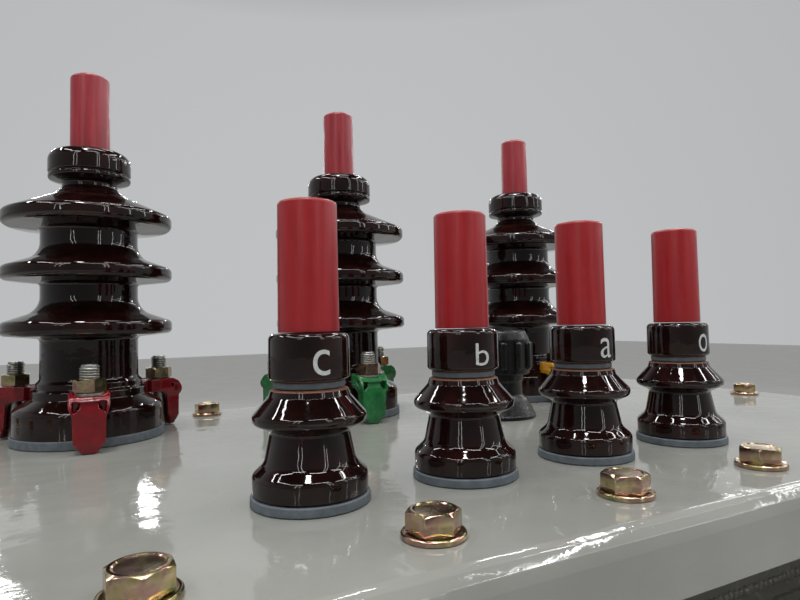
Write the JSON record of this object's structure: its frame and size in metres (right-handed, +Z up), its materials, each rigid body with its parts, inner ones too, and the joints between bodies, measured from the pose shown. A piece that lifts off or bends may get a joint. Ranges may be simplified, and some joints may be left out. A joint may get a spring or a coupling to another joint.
{
  "type": "oil-immersed distribution transformer",
  "caption": "Sealed distribution transformer with a corrugated tank, a folded cover, capped porcelain bushings in two rows, clamps and a tap changer.",
  "frame": {"origin": "on the floor, under the middle of the tank and cover", "axes": "+X along the tank's long side and both rows of bushings, +Y towards the high-voltage row, +Z up"},
  "size_m": [1.0466, 0.6506, 1.252],
  "materials": {
    "cover_paint": "glossy light grey enamel",
    "tank_paint": "warm grey enamel",
    "brown_glaze": "near-black brown glaze",
    "gasket_rubber": "matte blue-grey",
    "red_sleeve": "satin soft vinyl",
    "red_enamel": "glossy enamel on a casting",
    "green_enamel": "glossy enamel on a casting",
    "yellow_enamel": "glossy enamel on a casting",
    "black_plastic": "moulded, satin",
    "zinc_steel": "yellow passivated zinc"
  },
  "bodies": {
    "root": {"base_channel_left": "tank_paint", "base_channel_right": "tank_paint", "tank_body": "tank_paint", "tank_rim": "tank_paint", "corrugated_wall_front": "tank_paint", "corrugated_wall_back": "tank_paint", "corrugated_wall_left": "tank_paint", "corrugated_wall_right": "tank_paint", "lifting_lug_front_left": "tank_paint", "lifting_lug_back_left": "tank_paint", "lifting_lug_front_right": "tank_paint", "lifting_lug_back_right": "tank_paint", "drain_plug": "tank_paint", "cover": "cover_paint", "lv_c_base_gasket": "gasket_rubber", "lv_c_lower_insulator": "brown_glaze", "lv_c_neck_gasket": "gasket_rubber", "lv_c_upper_insulator": "brown_glaze", "lv_c_cap": "red_sleeve", "lv_b_base_gasket": "gasket_rubber", "lv_b_lower_insulator": "brown_glaze", "lv_b_neck_gasket": "gasket_rubber", "lv_b_upper_insulator": "brown_glaze", "lv_b_cap": "red_sleeve", "lv_a_base_gasket": "gasket_rubber", "lv_a_lower_insulator": "brown_glaze", "lv_a_neck_gasket": "gasket_rubber", "lv_a_upper_insulator": "brown_glaze", "lv_a_cap": "red_sleeve", "lv_o_base_gasket": "gasket_rubber", "lv_o_lower_insulator": "brown_glaze", "lv_o_neck_gasket": "gasket_rubber", "lv_o_upper_insulator": "brown_glaze", "lv_o_cap": "red_sleeve", "hv_left_gasket": "gasket_rubber", "hv_left_insulator": "brown_glaze", "hv_left_cap": "red_sleeve", "hv_left_clamp_1": "red_enamel", "hv_left_clamp_2": "red_enamel", "hv_left_clamp_3": "red_enamel", "hv_middle_gasket": "gasket_rubber", "hv_middle_insulator": "brown_glaze", "hv_middle_cap": "red_sleeve", "hv_middle_clamp_1": "green_enamel", "hv_middle_clamp_2": "green_enamel", "hv_middle_clamp_3": "green_enamel", "hv_right_gasket": "gasket_rubber", "hv_right_insulator": "brown_glaze", "hv_right_cap": "red_sleeve", "hv_right_clamp_1": "yellow_enamel", "hv_right_clamp_2": "yellow_enamel", "hv_right_clamp_3": "yellow_enamel", "tap_changer_base": "black_plastic", "tap_changer_cap": "black_plastic"}
  },
  "joints": []
}
